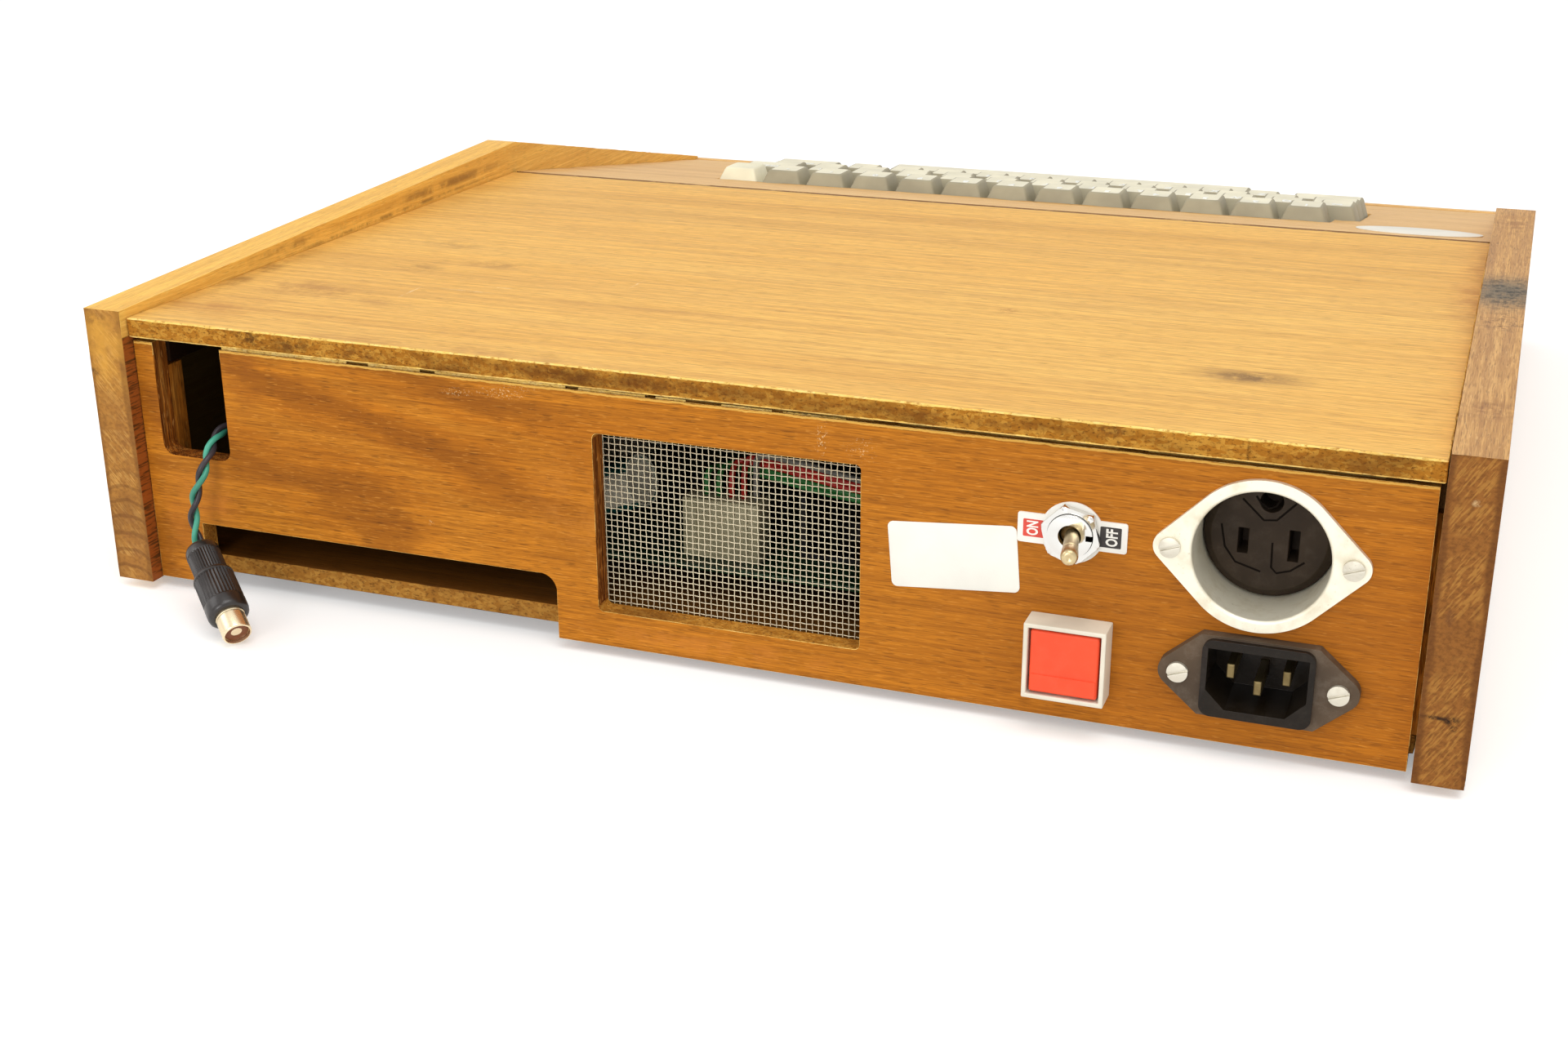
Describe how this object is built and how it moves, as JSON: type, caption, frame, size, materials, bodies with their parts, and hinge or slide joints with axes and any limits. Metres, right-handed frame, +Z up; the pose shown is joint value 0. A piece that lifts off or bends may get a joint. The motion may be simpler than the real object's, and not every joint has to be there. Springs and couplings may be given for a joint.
{
  "type": "home computer",
  "caption": "Low wedge-shaped home computer in a home-made wooden case with a lift-off lid, sloping keyboard, mesh window, mains fittings and a short video lead.",
  "frame": {"origin": "on the table, under the middle of the whole part without the video lead", "axes": "+X to the user's right, +Y to the rear panel with the sockets, +Z up; the keyboard faces -Y"},
  "size_m": [0.4006, 0.4692, 0.0962],
  "materials": {
    "cheek_wood": "varnished solid board, saw-marked end grain",
    "lid_wood": "satin varnished veneer",
    "panel_wood": "satin varnished veneer",
    "base_wood": "raw particle board",
    "raw_wood": "raw sawn softwood",
    "foam": "open foam, matt",
    "steel": "dull plated steel",
    "mesh_metal": "dull woven wire",
    "flange_metal": "satin cast metal",
    "black_plastic": "black moulding",
    "nickel": "plated, slightly dull",
    "plate_finish": "painted plate, red on one side",
    "grey_plastic": "light grey moulding",
    "red_plastic": "red moulding",
    "label_paper": "blank paper",
    "badge_paper": "blank oval",
    "key_plastic": "grey caps with pale tops",
    "cream_plastic": "cream cap",
    "housing_plastic": "dark grey moulding",
    "board_green": "lacquered circuit board",
    "nylon": "off-white nylon",
    "sleeve_blue": "shrink sleeve",
    "sink_metal": "dark anodised",
    "core_steel": "varnished laminations",
    "coil_wrap": "amber wrapped coil",
    "wire_cover": "coloured insulation",
    "lead_cover": "green and black insulation"
  },
  "bodies": {
    "case": {"left_cheek": "cheek_wood", "right_cheek": "cheek_wood", "rear_panel": "panel_wood", "key_panel": "panel_wood", "front_board": "panel_wood", "front_rail": "panel_wood", "base_board": "base_wood", "corner_battens": "raw_wood", "side_cleats": "raw_wood", "key_board_spacers": "raw_wood", "seal_strips": "foam", "glide_feet": "steel", "case_screws": "steel", "mesh_staples": "steel", "outlet_screws": "steel", "inlet_screws": "steel", "vent_mesh": "mesh_metal", "outlet_flange": "flange_metal", "outlet_body": "black_plastic", "inlet_body": "black_plastic", "switch_body": "black_plastic", "button_body": "black_plastic", "video_jack_body": "black_plastic", "board_chips": "black_plastic", "inlet_pins": "nickel", "switch_nut": "nickel", "video_jack_sleeve": "nickel", "switch_plate": "plate_finish", "button_bezel": "grey_plastic", "blank_label": "label_paper", "blank_badge": "badge_paper", "key_switches": "housing_plastic", "board_headers": "housing_plastic", "logic_board": "board_green", "key_board": "board_green", "power_plug": "nylon", "board_standoffs": "nylon", "filter_capacitors": "sleeve_blue", "heat_sink": "sink_metal", "transformer_cores": "core_steel", "transformer_coils": "coil_wrap", "harness_wires": "wire_cover", "mains_wires": "wire_cover", "keyboard_ribbon": "wire_cover", "video_lead": "lead_cover"},
    "lid": {"lid": "lid_wood"},
    "switch_lever": {"switch_lever": "nickel"},
    "button_cap": {"button_cap": "red_plastic"},
    "number_row_keys": {"number_row_keys": "key_plastic"},
    "reset_key": {"reset_key": "cream_plastic"},
    "escape_key": {"escape_key": "key_plastic"},
    "upper_row_keys": {"upper_row_keys": "key_plastic"},
    "repeat_key": {"repeat_key": "key_plastic"},
    "return_key": {"return_key": "key_plastic"},
    "control_key": {"control_key": "key_plastic"},
    "home_row_keys": {"home_row_keys": "key_plastic"},
    "left_shift_key": {"left_shift_key": "key_plastic"},
    "lower_row_keys": {"lower_row_keys": "key_plastic"},
    "right_shift_key": {"right_shift_key": "key_plastic"},
    "space_bar": {"space_bar": "key_plastic"}
  },
  "joints": [
    {"name": "lid_lift", "type": "slide", "parent": "case", "child": "lid", "axis": [0, 0, 1], "range_m": [0, 0.12]},
    {"name": "switch_throw", "type": "hinge", "parent": "case", "child": "switch_lever", "pos_m": [-0.0986, 0.2075, 0.0563], "axis": [0, 0, -1], "range_deg": [0, 20]},
    {"name": "button_press", "type": "slide", "parent": "case", "child": "button_cap", "axis": [0, -1, 0], "range_m": [0, 0.0028], "stiffness_N_per_m": 300, "springref_m": -0.004},
    {"name": "number_row_press", "type": "slide", "parent": "case", "child": "number_row_keys", "axis": [0, 0.1532, -0.9882], "range_m": [0, 0.0038], "stiffness_N_per_m": 720, "springref_m": -0.003},
    {"name": "reset_press", "type": "slide", "parent": "case", "child": "reset_key", "axis": [0, 0.1532, -0.9882], "range_m": [0, 0.0038], "stiffness_N_per_m": 120, "springref_m": -0.003},
    {"name": "escape_press", "type": "slide", "parent": "case", "child": "escape_key", "axis": [0, 0.1532, -0.9882], "range_m": [0, 0.0038], "stiffness_N_per_m": 120, "springref_m": -0.003},
    {"name": "upper_row_press", "type": "slide", "parent": "case", "child": "upper_row_keys", "axis": [0, 0.1532, -0.9882], "range_m": [0, 0.0038], "stiffness_N_per_m": 600, "springref_m": -0.003},
    {"name": "repeat_press", "type": "slide", "parent": "case", "child": "repeat_key", "axis": [0, 0.1532, -0.9882], "range_m": [0, 0.0038], "stiffness_N_per_m": 120, "springref_m": -0.003},
    {"name": "return_press", "type": "slide", "parent": "case", "child": "return_key", "axis": [0, 0.1532, -0.9882], "range_m": [0, 0.0038], "stiffness_N_per_m": 120, "springref_m": -0.003},
    {"name": "control_press", "type": "slide", "parent": "case", "child": "control_key", "axis": [0, 0.1532, -0.9882], "range_m": [0, 0.0038], "stiffness_N_per_m": 120, "springref_m": -0.003},
    {"name": "home_row_press", "type": "slide", "parent": "case", "child": "home_row_keys", "axis": [0, 0.1532, -0.9882], "range_m": [0, 0.0038], "stiffness_N_per_m": 720, "springref_m": -0.003},
    {"name": "left_shift_press", "type": "slide", "parent": "case", "child": "left_shift_key", "axis": [0, 0.1532, -0.9882], "range_m": [0, 0.0038], "stiffness_N_per_m": 120, "springref_m": -0.003},
    {"name": "lower_row_press", "type": "slide", "parent": "case", "child": "lower_row_keys", "axis": [0, 0.1532, -0.9882], "range_m": [0, 0.0038], "stiffness_N_per_m": 600, "springref_m": -0.003},
    {"name": "right_shift_press", "type": "slide", "parent": "case", "child": "right_shift_key", "axis": [0, 0.1532, -0.9882], "range_m": [0, 0.0038], "stiffness_N_per_m": 120, "springref_m": -0.003},
    {"name": "space_bar_press", "type": "slide", "parent": "case", "child": "space_bar", "axis": [0, 0.1532, -0.9882], "range_m": [0, 0.0038], "stiffness_N_per_m": 360, "springref_m": -0.003}
  ]
}
